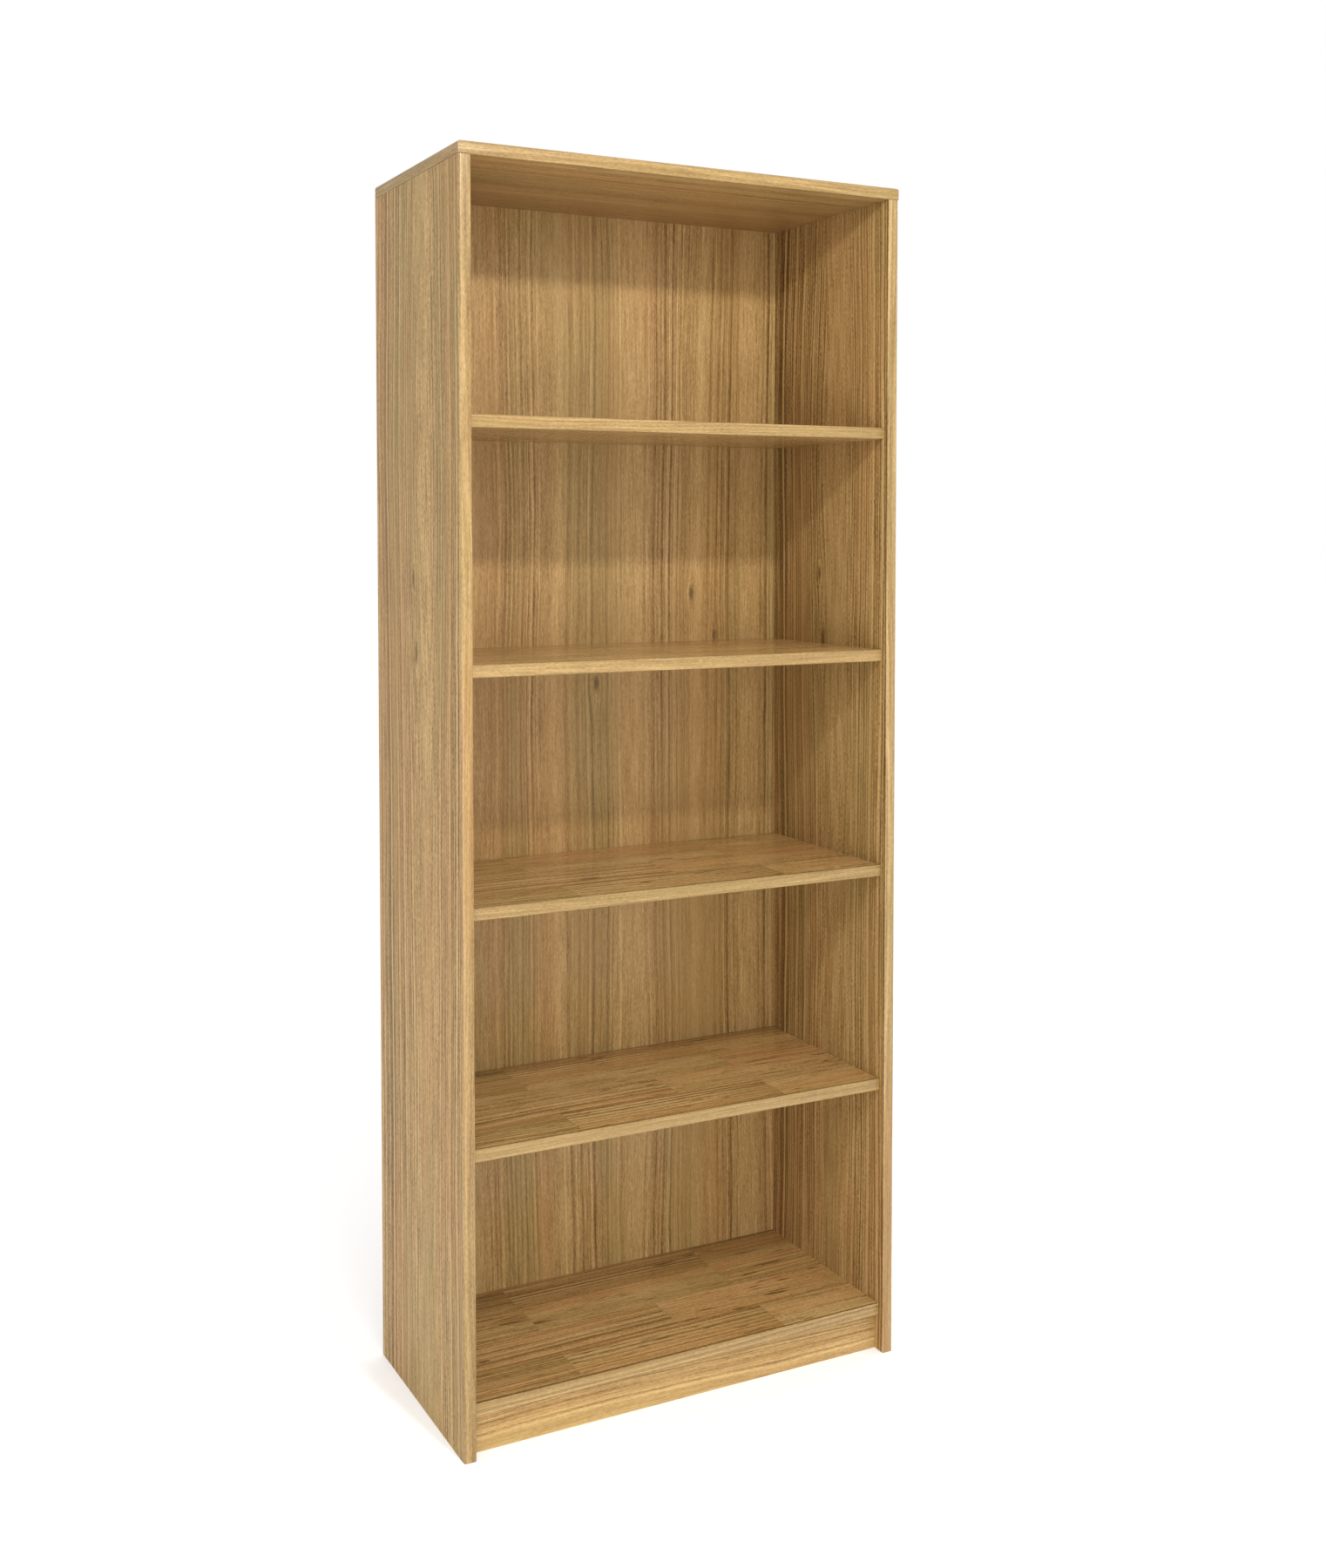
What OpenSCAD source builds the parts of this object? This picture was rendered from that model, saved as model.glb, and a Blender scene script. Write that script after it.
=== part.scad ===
// Open bookcase with four adjustable shelves.
//
// The carcass is made of veneered boards with solid-wood lippings on the edges that show. It is
// glued and dowelled: two sides, a top that lies over them, a fixed bottom shelf on a plinth, and
// a thin back that slides into grooves. Each of the other shelves rests on four steel pins, which
// lie in pockets milled in its underside, so that nothing shows under the shelf.
//
// Millimetres. The origin is on the floor at the middle of the footprint, with X to the right,
// Y to the back and Z up, so the open front faces -Y.

/* [Carcass] */
// Overall width
case_w = 710; // [560:1:900]
// Overall depth
case_d = 355; // [345:1:400]
// Overall height, without the wall brackets
case_h = 1800; // [1720:1:2000]
// Thickness of the sides, top, shelves and plinth
board_t = 18; // [18:1:22]
// Thickness of the solid-wood lippings
lip_t = 4.5; // [4.5:0.1:4.9]
// Rounding of the lippings' small corners
lip_r = 2; // [1:0.1:2.8]
// Rounding of the outer corners of the sides and the top
outer_r = 4.2; // [3:0.1:4.4]

/* [Plinth and bottom shelf] */
// Height of the plinth board
plinth_h = 56; // [45:1:100]
// How far the plinth stands back from the front
plinth_recess = 22; // [15:1:40]
// How far every shelf stands back from the front
shelf_recess = 12; // [8:1:20]

/* [Back panel] */
// Thickness of the back panel
back_t = 5; // [3:0.5:6]
// Distance from the back panel's rear face to the rear edge of the sides
back_inset = 18; // [16:1:24]
// Depth of the grooves that hold the back panel
groove_depth = 8.5; // [5:0.5:9]

/* [Adjustable shelves] */
// Height of the first shelf's top face
shelf_1_top = 430; // [400:1:450]
// Height of the second shelf's top face
shelf_2_top = 765; // [730:1:790]
// Height of the third shelf's top face
shelf_3_top = 1098; // [1060:1:1130]
// Height of the fourth shelf's top face
shelf_4_top = 1438; // [1400:1:1470]
// Gap between each shelf end and the side
end_gap = 0.5; // [0.4:0.1:1.5]
// Gap between each shelf and the back panel
rear_gap = 1; // [0.5:0.1:3]

/* [Shelf pins] */
// Radius of the pin holes in the sides
pin_hole_r = 2.5; // [2.4:0.1:3]
// Radial clearance of a pin in its hole
pin_play = 0.05; // [0.03:0.01:0.08]
// Depth of the pin holes
pin_hole_depth = 10.5; // [10:0.5:12]
// Length of a pin
pin_length = 19; // [18:0.5:19]
// Length of the pin that is in the side
pin_seat = 9.5; // [9:0.5:10]
// Height step between pin holes
hole_pitch = 32; // [25:1:50]
// Distance from the front of the case to the front column of holes
front_column = 50; // [40:1:60]
// Distance between the two columns of holes
column_gap = 240; // [180:1:240]

/* [Wall brackets] */
// Width of a bracket
bracket_w = 40; // [30:1:50]
// Length of the leg that is screwed to the top
bracket_leg = 24; // [22:1:32]
// Height of the leg that is screwed to the wall
bracket_h = 22; // [18:1:30]
// Thickness of the bracket's steel
bracket_t = 2; // [1.5:0.5:3]
// Distance of each bracket from the middle of the case
bracket_x = 250; // [120:1:250]
// Radius of the hole for the wall screw
wall_hole_r = 2.75; // [2:0.25:3.5]

/* [Hidden] */
shelf_tops = [shelf_1_top, shelf_2_top, shelf_3_top, shelf_4_top];
front_y = -case_d / 2;
rear_y = case_d / 2;
outer_x = case_w / 2;
inner_x = outer_x - board_t;
side_mid_x = outer_x - board_t / 2;
side_h = case_h - board_t;
back_y = rear_y - back_inset - back_t;
groove_play = 0.2;
back_play = 0.5;
bottom_top = plinth_h + board_t;

// A pin lies wholly inside its pocket, and the pocket's roof rests on it.
pin_r = pin_hole_r - pin_play;
pin_chamfer = 0.6;
pocket_length = 24;
pocket_w = 2 * pin_r + 1.1;
pocket_roof = 2 * pin_r + 0.3;
pocket_gap = 0.2;
pin_rise = pocket_roof - pocket_gap - pin_r;
column_y = [front_y + front_column, front_y + front_column + column_gap];
plug_length = 9;

// Dowels go 10 mm into a board's face and the rest into the other board's end.
dowel_r = 3.95;
dowel_hole_r = 4;
dowel_length = 35;
dowel_chamfer = 0.8;
dowel_face_depth = 10;
dowel_end_play = 0.5;
top_dowel_y = [-120, 0, 120];
bottom_dowel_y = [-130, 0, 120];
plinth_dowel_z = [16, 40];
plinth_top_dowel_x = [for (share = [-0.75, -0.25, 0.25, 0.75]) share * inner_x];
plinth_mid_y = front_y + plinth_recess + board_t / 2;

// Pins that hold the back panel to the bottom shelf's rear edge.
nail_r = 0.8;
nail_hole_r = 0.85;
nail_length = 25;
nail_head_r = 2;
nail_head_t = 0.8;
nail_x = [for (share = [-0.8, -0.4, 0, 0.4, 0.8]) share * inner_x];

// Screws that hold the brackets to the top.
screw_r = 1.75;
screw_hole_r = 1.8;
screw_length = 13;
screw_head_r = 3.5;
screw_head_t = 2.2;
screw_spread = 12;
screw_back = 11;
bracket_hole_r = 2.1;

cut = 1; // how far a cutter runs past the face that it opens
$fn = 48;

veneer = [0.74, 0.57, 0.36];
shelf_veneer = [0.70, 0.53, 0.31];
lipping = [0.82, 0.66, 0.40];
beech = [0.80, 0.66, 0.47];
steel = [0.72, 0.73, 0.74];

side_names = ["left", "right"];
row_names = ["front", "rear"];
pin_names = [for (n = [1:4], row = [0, 1], side = [0, 1]) pin_name(n, row, side)];

function pin_name(n, row, side) = str("shelf_", n, "_pin_", row_names[row], "_", side_names[side]);
function pin_z(n) = shelf_tops[n - 1] - board_t + pin_rise;
function spare_hole_z() = [for (n = [1:4], step = [-1, 1]) pin_z(n) + step * hole_pitch];
function all_hole_z() = concat([for (n = [1:4]) pin_z(n)], spare_hole_z());

// A lipping's cross-section: u runs across the board's thickness and v outwards from its core.
// far_r rounds the corner at u = board_t.
function corner(u, v, r, from) =
    [for (step = [0:6]) [u + r * cos(from + 15 * step), v + r * sin(from + 15 * step)]];
function lip_outline(far_r) = concat(
    [[0, 0], [board_t, 0]],
    corner(board_t - far_r, lip_t - far_r, far_r, 0),
    corner(lip_r, lip_t - lip_r, lip_r, 90)
);

// A box between two X, two Y and two Z values.
module block(x, y, z) {
    translate([x[0], y[0], z[0]])
        cube([x[1] - x[0], y[1] - y[0], z[1] - z[0]]);
}

// Everything on the left is the mirror image of what is on the right.
module on_side(side) {
    if (side == 0) mirror([1, 0, 0]) children();
    else children();
}

// A round bar along Z with both ends chamfered.
module chamfered_bar(r, length, chamfer) {
    rotate_extrude()
        polygon([
            [0, 0], [r - chamfer, 0], [r, chamfer],
            [r, length - chamfer], [r - chamfer, length], [0, length]
        ]);
}

// A lipping that runs along X at the front of a board, from its underside at z.
module front_lipping(half_length, y, z, top_r) {
    translate([-half_length, y, z])
        rotate([90, 0, 90])
            linear_extrude(2 * half_length)
                polygon([for (p = lip_outline(top_r)) [-p[1], p[0]]]);
}

// Places its child, a bar or hole along Z, at each of the joints between two boards.
module at_top_dowels() {
    for (y = top_dowel_y)
        translate([side_mid_x, y, side_h + dowel_face_depth])
            mirror([0, 0, 1])
                children();
}

module at_bottom_dowels() {
    for (y = bottom_dowel_y)
        translate([inner_x + dowel_face_depth, y, plinth_h + board_t / 2])
            rotate([0, -90, 0])
                children();
}

module at_plinth_dowels() {
    for (z = plinth_dowel_z)
        translate([inner_x + dowel_face_depth, plinth_mid_y, z])
            rotate([0, -90, 0])
                children();
}

module at_plinth_top_dowels() {
    for (x = plinth_top_dowel_x)
        translate([x, plinth_mid_y, plinth_h + dowel_face_depth])
            mirror([0, 0, 1])
                children();
}

module at_nails() {
    for (x = nail_x)
        translate([x, back_y + back_t, plinth_h + board_t / 2])
            rotate([90, 0, 0])
                children();
}

module at_bracket_screws() {
    for (step = [-1, 1])
        translate([bracket_x + step * screw_spread, rear_y - screw_back, case_h + bracket_t])
            mirror([0, 0, 1])
                children();
}

module dowel() {
    chamfered_bar(dowel_r, dowel_length, dowel_chamfer);
}

module dowel_hole() {
    translate([0, 0, -dowel_end_play])
        cylinder(r = dowel_hole_r, h = dowel_length + 2 * dowel_end_play);
}

// A hole in the side, from its inner face outwards.
module side_hole(y, z) {
    translate([inner_x - cut, y, z])
        rotate([0, 90, 0])
            cylinder(r = pin_hole_r, h = pin_hole_depth + cut);
}

module side_panel(side) {
    color(veneer)
        on_side(side)
            difference() {
                block([inner_x, outer_x], [front_y + lip_t, rear_y], [0, side_h]);
                block(
                    [inner_x - cut, inner_x + groove_depth],
                    [back_y, back_y + back_t + groove_play],
                    [-cut, side_h + cut]
                );
                for (y = column_y, z = all_hole_z()) side_hole(y, z);
                at_top_dowels() dowel_hole();
                at_bottom_dowels() dowel_hole();
                at_plinth_dowels() dowel_hole();
            }
}

module side_edging(side) {
    color(lipping)
        on_side(side)
            translate([inner_x, front_y + lip_t, 0])
                mirror([0, 1, 0])
                    linear_extrude(side_h)
                        polygon(lip_outline(outer_r));
}

module top_panel() {
    color(veneer)
        difference() {
            block([lip_t - outer_x, outer_x - lip_t], [front_y + lip_t, rear_y], [side_h, case_h]);
            block(
                [-inner_x - groove_depth, inner_x + groove_depth],
                [back_y, back_y + back_t + groove_play],
                [side_h - cut, side_h + groove_depth]
            );
            for (side = [0, 1])
                on_side(side) {
                    at_top_dowels() dowel_hole();
                    at_bracket_screws()
                        cylinder(r = screw_hole_r, h = bracket_t + screw_length + dowel_end_play);
                }
        }
}

module top_edging_front() {
    color(lipping)
        intersection() {
            front_lipping(outer_x, front_y + lip_t, side_h, outer_r);
            // Its two ends are rounded like the end lippings that they meet.
            translate([0, front_y + lip_t + cut, side_h])
                rotate([90, 0, 0])
                    linear_extrude(lip_t + 2 * cut)
                        polygon(concat(
                            [for (p = corner(outer_x - outer_r, board_t - outer_r, outer_r, 0)) p],
                            [for (p = corner(outer_r - outer_x, board_t - outer_r, outer_r, 90)) p],
                            [for (p = corner(lip_r - outer_x, lip_r, lip_r, 180)) p],
                            [for (p = corner(outer_x - lip_r, lip_r, lip_r, 270)) p]
                        ));
        }
}

module top_edging_end(side) {
    color(lipping)
        on_side(side)
            translate([outer_x - lip_t, rear_y, side_h])
                rotate([90, 0, 0])
                    linear_extrude(case_d - lip_t)
                        polygon([for (p = lip_outline(outer_r)) [p[1], p[0]]]);
}

module bottom_shelf() {
    color(shelf_veneer)
        difference() {
            block([-inner_x, inner_x], [front_y + shelf_recess + lip_t, back_y], [plinth_h, bottom_top]);
            for (side = [0, 1]) on_side(side) at_bottom_dowels() dowel_hole();
            at_plinth_top_dowels() dowel_hole();
            at_nails() cylinder(r = nail_hole_r, h = nail_length + dowel_end_play);
        }
}

module bottom_edging() {
    color(lipping)
        front_lipping(inner_x, front_y + shelf_recess + lip_t, plinth_h, lip_r);
}

module plinth() {
    color(veneer)
        difference() {
            block(
                [-inner_x, inner_x],
                [front_y + plinth_recess, front_y + plinth_recess + board_t],
                [0, plinth_h]
            );
            for (side = [0, 1]) on_side(side) at_plinth_dowels() dowel_hole();
            at_plinth_top_dowels() dowel_hole();
        }
}

module back_panel() {
    color(veneer)
        difference() {
            block(
                [back_play - inner_x - groove_depth, inner_x + groove_depth - back_play],
                [back_y, back_y + back_t],
                [plinth_h, side_h + groove_depth - back_play]
            );
            at_nails()
                translate([0, 0, -cut])
                    cylinder(r = nail_hole_r, h = cut + back_t + cut);
        }
}

module back_nails() {
    color(steel)
        at_nails()
            rotate_extrude()
                polygon([
                    [0, -nail_head_t], [nail_head_r, -nail_head_t], [nail_head_r, 0], [nail_r, 0],
                    [nail_r, nail_length - 2 * nail_r], [0, nail_length]
                ]);
}

module shelf(n) {
    underside = shelf_tops[n - 1] - board_t;
    shelf_x = inner_x - end_gap;
    color(shelf_veneer)
        difference() {
            block(
                [-shelf_x, shelf_x],
                [front_y + shelf_recess + lip_t, back_y - rear_gap],
                [underside, shelf_tops[n - 1]]
            );
            for (side = [0, 1], y = column_y)
                on_side(side)
                    block(
                        [shelf_x - pocket_length, shelf_x + cut],
                        [y - pocket_w / 2, y + pocket_w / 2],
                        [underside - cut, underside + pocket_roof]
                    );
        }
}

module shelf_edging(n) {
    color(lipping)
        front_lipping(inner_x - end_gap, front_y + shelf_recess + lip_t, shelf_tops[n - 1] - board_t, lip_r);
}

module shelf_pin(n, row, side) {
    color(steel)
        on_side(side)
            translate([inner_x + pin_seat, column_y[row], pin_z(n)])
                rotate([0, -90, 0])
                    chamfered_bar(pin_r, pin_length, pin_chamfer);
}

module hole_plugs(side) {
    color(veneer)
        on_side(side)
            for (y = column_y, z = spare_hole_z())
                translate([inner_x, y, z])
                    rotate([0, 90, 0])
                        cylinder(r = pin_r, h = plug_length);
}

module top_dowels(side) {
    color(beech) on_side(side) at_top_dowels() dowel();
}

module bottom_dowels(side) {
    color(beech) on_side(side) at_bottom_dowels() dowel();
}

module plinth_dowels(side) {
    color(beech) on_side(side) at_plinth_dowels() dowel();
}

module plinth_top_dowels() {
    color(beech) at_plinth_top_dowels() dowel();
}

module wall_bracket(side) {
    color(steel)
        on_side(side)
            difference() {
                union() {
                    block(
                        [bracket_x - bracket_w / 2, bracket_x + bracket_w / 2],
                        [rear_y - bracket_leg, rear_y],
                        [case_h, case_h + bracket_t]
                    );
                    block(
                        [bracket_x - bracket_w / 2, bracket_x + bracket_w / 2],
                        [rear_y - bracket_t, rear_y],
                        [case_h, case_h + bracket_h]
                    );
                }
                at_bracket_screws()
                    translate([0, 0, -cut])
                        cylinder(r = bracket_hole_r, h = bracket_t + 2 * cut);
                translate([bracket_x, rear_y + cut, case_h + bracket_t + (bracket_h - bracket_t) / 2])
                    rotate([90, 0, 0])
                        cylinder(r = wall_hole_r, h = bracket_t + 2 * cut);
            }
}

module bracket_screws(side) {
    color(steel)
        on_side(side)
            at_bracket_screws()
                rotate_extrude()
                    polygon([
                        [0, -screw_head_t], [screw_head_r - 1, -screw_head_t],
                        [screw_head_r, -screw_head_t + 1], [screw_head_r, 0], [screw_r, 0],
                        [screw_r, bracket_t + screw_length - 2 * screw_r],
                        [0, bracket_t + screw_length]
                    ]);
}

for (side = [0, 1]) {
    name = side_names[side];
    side_panel(side);
    side_edging(side);
    top_edging_end(side);
    hole_plugs(side);
    top_dowels(side);
    bottom_dowels(side);
    plinth_dowels(side);
    wall_bracket(side);
    bracket_screws(side);
}
top_panel();
top_edging_front();
bottom_shelf();
bottom_edging();
plinth();
plinth_top_dowels();
back_panel();
back_nails();
for (n = [1:4]) {
    shelf(n);
    shelf_edging(n);
    for (row = [0, 1], side = [0, 1])
        shelf_pin(n, row, side);
}
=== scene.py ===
import math

import bmesh
import bpy
from mathutils import Matrix, Vector


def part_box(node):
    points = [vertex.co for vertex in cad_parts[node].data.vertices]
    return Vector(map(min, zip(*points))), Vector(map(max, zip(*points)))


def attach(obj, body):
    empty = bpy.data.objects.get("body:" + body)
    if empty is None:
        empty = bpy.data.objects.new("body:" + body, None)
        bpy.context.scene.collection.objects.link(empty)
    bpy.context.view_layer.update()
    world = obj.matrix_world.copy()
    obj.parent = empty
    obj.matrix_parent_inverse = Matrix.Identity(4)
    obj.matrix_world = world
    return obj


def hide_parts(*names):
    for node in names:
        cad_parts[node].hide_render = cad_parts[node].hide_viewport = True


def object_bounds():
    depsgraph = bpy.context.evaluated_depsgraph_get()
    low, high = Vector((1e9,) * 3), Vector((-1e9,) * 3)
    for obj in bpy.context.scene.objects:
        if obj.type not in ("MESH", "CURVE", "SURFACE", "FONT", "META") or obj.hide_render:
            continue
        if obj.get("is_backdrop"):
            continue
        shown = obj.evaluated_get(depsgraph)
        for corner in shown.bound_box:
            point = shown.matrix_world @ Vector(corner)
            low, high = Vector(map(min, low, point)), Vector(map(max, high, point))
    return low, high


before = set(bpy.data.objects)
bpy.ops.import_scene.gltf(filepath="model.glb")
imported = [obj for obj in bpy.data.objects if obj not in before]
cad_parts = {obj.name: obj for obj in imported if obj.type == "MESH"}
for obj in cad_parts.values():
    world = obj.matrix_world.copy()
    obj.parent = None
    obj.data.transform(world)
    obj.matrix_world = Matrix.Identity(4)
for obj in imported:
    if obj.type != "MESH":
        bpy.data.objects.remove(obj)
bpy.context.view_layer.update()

MM = 0.001
X, Y, Z = 0, 1, 2

# The sides
# Two 18 mm boards of chipboard with veneer on both faces, its grain upright. They are lacquered
# after they are cut, so their rear and bottom edges and the drilled holes show the bare chipboard.


def new_node(tree, kind, sockets=None, **settings):
    """Adds a node. A socket is given a value or another node's output."""
    made = tree.nodes.new(kind)
    for name, value in settings.items():
        setattr(made, name, value)
    for key, value in (sockets or {}).items():
        if isinstance(value, bpy.types.NodeSocket):
            tree.links.new(value, made.inputs[key])
        else:
            made.inputs[key].default_value = value
    return made


def add(tree, kind, sockets=None, **settings):
    return new_node(tree, "ShaderNode" + kind, sockets, **settings)


def sums(tree, operation, *values):
    return add(tree, "Math", dict(enumerate(values)), operation=operation).outputs[0]


def squared(tree, value):
    return sums(tree, "MULTIPLY", value, value)


def swing(tree, value, share, onto=0.0):
    """Adds to onto a share of how far a value between 0 and 1 lies from a half."""
    return sums(tree, "MULTIPLY_ADD", sums(tree, "SUBTRACT", value, 0.5), share, onto)


def spread(tree, value, low, high, to_low=0.0, to_high=1.0, smooth=True):
    """Maps low..high to to_low..to_high, held at the ends."""
    ends = {"Value": value, "From Min": low, "From Max": high, "To Min": to_low, "To Max": to_high}
    shape = "SMOOTHSTEP" if smooth else "LINEAR"
    return add(tree, "MapRange", ends, interpolation_type=shape).outputs[0]


def cloud(tree, place, scale, seed, detail=1.0, rough=0.5):
    """Smooth noise from 0 to 1 with its own scale across, along and through the grain."""
    at = add(tree, "VectorMath", {0: place, 1: scale, 2: (seed, 1.7 * seed, 2.3 * seed)},
             operation="MULTIPLY_ADD").outputs[0]
    sockets = {"Vector": at, "Scale": 1.0, "Detail": detail, "Roughness": rough}
    return add(tree, "TexNoise", sockets, noise_dimensions="3D").outputs["Fac"]


def lines(tree, at, per_metre, seed):
    """Smooth noise from 0 to 1 that changes only with one number."""
    sockets = {"W": sums(tree, "MULTIPLY_ADD", at, per_metre, seed), "Scale": 1.0, "Detail": 1.0}
    return add(tree, "TexNoise", sockets, noise_dimensions="1D").outputs["Fac"]


def mixed(tree, share, first, second, blend="MIX"):
    """Mixes two colours. The share is that of the second."""
    sockets = {0: share, 6: first, 7: second}
    return add(tree, "Mix", sockets, data_type="RGBA", blend_type=blend).outputs[2]


def new_group(name, takes, gives):
    """A shader node group. Returns its tree, the sockets that come in and those that go out."""
    tree = bpy.data.node_groups.new(name, "ShaderNodeTree")
    for label, kind, value in takes:
        socket = tree.interface.new_socket(label, in_out="INPUT", socket_type="NodeSocket" + kind)
        socket.default_value = value
    for label, kind in gives:
        tree.interface.new_socket(label, in_out="OUTPUT", socket_type="NodeSocket" + kind)
    return tree, tree.nodes.new("NodeGroupInput").outputs, tree.nodes.new("NodeGroupOutput").inputs


# A leaf of veneer wider than this, in metres, covers its board alone.
WHOLE_LEAF = 0.9


def make_wood_figure():
    """Sliced wood. Place is the point across, along and through the grain, in metres.

    A leaf of veneer is cut at some depth beside the heart of the log, so a growth ring is met at
    the ring distance q = hypot(u, depth), with u measured across from the heart. Where the depth
    changes along the leaf, rings close into long pointed arches. Elsewhere they run straight."""
    tree, given, out = new_group(
        "wood figure",
        [("Place", "Vector", (0, 0, 0)), ("Seed", "Float", 0.0), ("Leaf Width", "Float", 0.16),
         ("Heart", "Float", 0.0), ("Heart Depth", "Float", 0.04), ("Knot", "Float", 0.0),
         ("Push", "Float", 0.0), ("Wave", "Float", 0.03),
         ("Pale", "Color", (0.6, 0.42, 0.2, 1)), ("Mid", "Color", (0.45, 0.3, 0.14, 1)),
         ("Deep", "Color", (0.25, 0.15, 0.06, 1)), ("Olive", "Color", (0.4, 0.33, 0.15, 1)),
         ("Rust", "Color", (0.5, 0.27, 0.12, 1)), ("Contrast", "Float", 1.0),
         ("Olive Share", "Float", 0.5), ("Rust Share", "Float", 0.5), ("Marks", "Float", 0.3)],
        [("Color", "Color"), ("Height", "Float"), ("Pores", "Float")],
    )
    seed, leaf_width = given["Seed"], given["Leaf Width"]
    apart = add(tree, "CombineXYZ", {
        "X": sums(tree, "MULTIPLY", seed, 3.1), "Y": sums(tree, "MULTIPLY", seed, 7.7),
        "Z": sums(tree, "MULTIPLY", seed, 1.3)}).outputs[0]
    shifted = add(tree, "VectorMath", {0: given["Place"], 1: apart}, operation="ADD").outputs[0]
    axes = add(tree, "SeparateXYZ", {0: shifted}).outputs
    along = axes["Y"]

    # The lines of the wood drift, ripple and shiver sideways, by these widths in metres.
    bend = swing(tree, cloud(tree, shifted, (5.0, 1.5, 1.0), 3.0), 0.030, given["Push"])
    bend = swing(tree, cloud(tree, shifted, (30.0, 9.0, 2.0), 9.0, 2.0), 0.0030, bend)
    bend = swing(tree, cloud(tree, shifted, (120.0, 60.0, 9.0), 15.0), 0.0011, bend)

    # Each leaf lies at its own distance from the heart, but a whole leaf where Heart says.
    leaf_at = sums(tree, "DIVIDE", axes["X"], leaf_width)
    sockets = {"W": leaf_at, "Scale": 1.0, "Randomness": 0.75}
    leaf = add(tree, "TexVoronoi", sockets, voronoi_dimensions="1D").outputs
    chance = add(tree, "SeparateColor", {0: leaf["Color"]}).outputs
    inside = sums(tree, "MULTIPLY", sums(tree, "SUBTRACT", leaf_at, leaf["W"]), leaf_width)
    own_u = sums(tree, "ADD", inside, sums(tree, "MULTIPLY_ADD", chance[0], 0.05, 0.035))
    true_across = add(tree, "SeparateXYZ", {0: given["Place"]}).outputs["X"]
    placed_u = sums(tree, "SUBTRACT", true_across, given["Heart"])
    is_placed = sums(tree, "GREATER_THAN", leaf_width, WHOLE_LEAF)
    u = sums(tree, "ADD", spread(tree, is_placed, 0.0, 1.0, own_u, placed_u, smooth=False), bend)

    # The depth of the heart below the leaf changes slowly along the grain.
    leaf_place = add(tree, "CombineXYZ", {
        "X": sums(tree, "MULTIPLY", chance[2], 31.0), "Y": along, "Z": 0.0}).outputs[0]
    slow = cloud(tree, leaf_place, (1.0, 0.9, 1.0), 5.0)
    depth = swing(tree, slow, given["Wave"], given["Heart Depth"])
    q = sums(tree, "SQRT", sums(tree, "MULTIPLY_ADD", u, u, squared(tree, depth)))

    # Growth rings: broad bands, narrower ones and fine lines, which come and go along the grain.
    leaf_seed = sums(tree, "MULTIPLY_ADD", chance[2], 19.0, seed)

    def rings(per_metre, own_seed):
        return lines(tree, q, per_metre, sums(tree, "ADD", leaf_seed, own_seed))

    broad, middle = rings(26.0, 2.0), rings(95.0, 11.0)
    fine, finest = rings(240.0, 27.0), rings(620.0, 51.0)
    pale_line = spread(tree, rings(130.0, 71.0), 0.60, 0.72)
    dark_line = spread(tree, rings(115.0, 93.0), 0.60, 0.74)
    fading = cloud(tree, shifted, (22.0, 4.0, 1.0), 21.0)
    # Near the heart the rings lie flat in the leaf, and only the broad ones show.
    steep = spread(tree, sums(tree, "DIVIDE", sums(tree, "ABSOLUTE", u), q), 0.45, 0.9)

    # Fibres, flecks, pores and short dark marks run with the grain and bend with it.
    bent = add(tree, "CombineXYZ", {
        "X": sums(tree, "ADD", axes["X"], bend), "Y": along, "Z": axes["Z"]}).outputs[0]
    fibre = cloud(tree, bent, (330.0, 11.0, 40.0), 13.0, 2.0, 0.6)
    fleck = cloud(tree, bent, (1000.0, 170.0, 90.0), 19.0)
    pore = spread(tree, cloud(tree, bent, (1100.0, 60.0, 150.0), 17.0, 1.5), 0.56, 0.70)
    mark = spread(tree, cloud(tree, bent, (150.0, 17.0, 20.0), 37.0), 0.64, 0.78)

    # Every pattern moves the tone by its share. In the end Mid lies at 0.5, Deep and Pale beside it.
    strength = sums(tree, "MULTIPLY", sums(tree, "MULTIPLY_ADD", fading, 1.3, 0.30), steep)
    tone = swing(tree, broad, 0.32)
    tone = swing(tree, middle, 0.50, tone)
    tone = sums(tree, "MULTIPLY_ADD", swing(tree, fine, 1.15), strength, tone)
    tone = sums(tree, "MULTIPLY_ADD", swing(tree, finest, 0.70), strength, tone)
    tone = sums(tree, "MULTIPLY_ADD", sums(tree, "MULTIPLY", pale_line, steep), 0.26, tone)
    tone = sums(tree, "MULTIPLY_ADD", sums(tree, "MULTIPLY", dark_line, steep), -0.20, tone)
    tone = swing(tree, fibre, 0.95, tone)
    tone = swing(tree, fleck, 1.00, tone)
    tone = swing(tree, chance[1], 0.06, tone)
    tone = sums(tree, "MULTIPLY_ADD", sums(tree, "SUBTRACT", 1.0, steep), 0.12, tone)
    tone = sums(tree, "MULTIPLY_ADD", tone, given["Contrast"], 0.5)

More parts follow.
